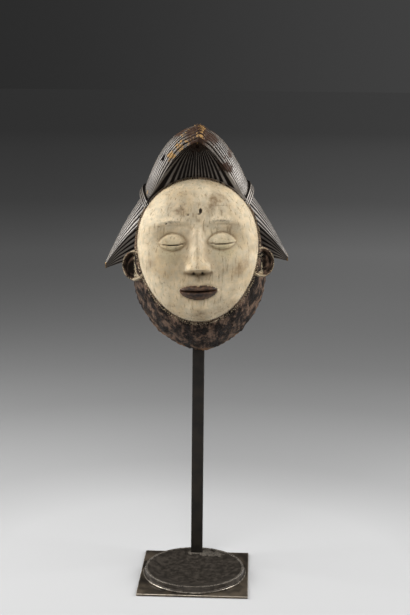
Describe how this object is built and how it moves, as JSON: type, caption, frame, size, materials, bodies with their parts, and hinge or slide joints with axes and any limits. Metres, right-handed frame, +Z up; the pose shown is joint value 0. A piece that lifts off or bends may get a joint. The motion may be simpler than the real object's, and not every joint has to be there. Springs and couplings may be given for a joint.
{
  "type": "punu mask on a stand",
  "caption": "Carved wooden face mask, white face under a strand-carved crest with side tresses, hollow behind, resting on an upright steel bar in a round dish on a square plate.",
  "frame": {"origin": "middle of the square plate's underside", "axes": "+Z up along the bar, the mask faces -Y, +X to the right seen from the front"},
  "size_m": [0.242, 0.1713, 0.6036],
  "materials": {
    "carved_wood": "white clay on the face, blackened hair, worn brown wood",
    "bar_steel": "blackened, matt",
    "dish_metal": "dark brown patina, worn edges",
    "plate_steel": "dark brown patina, worn edges"
  },
  "bodies": {
    "root": {"mask": "carved_wood", "upright_bar": "bar_steel", "base_dish": "dish_metal", "base_plate": "plate_steel"}
  },
  "joints": []
}
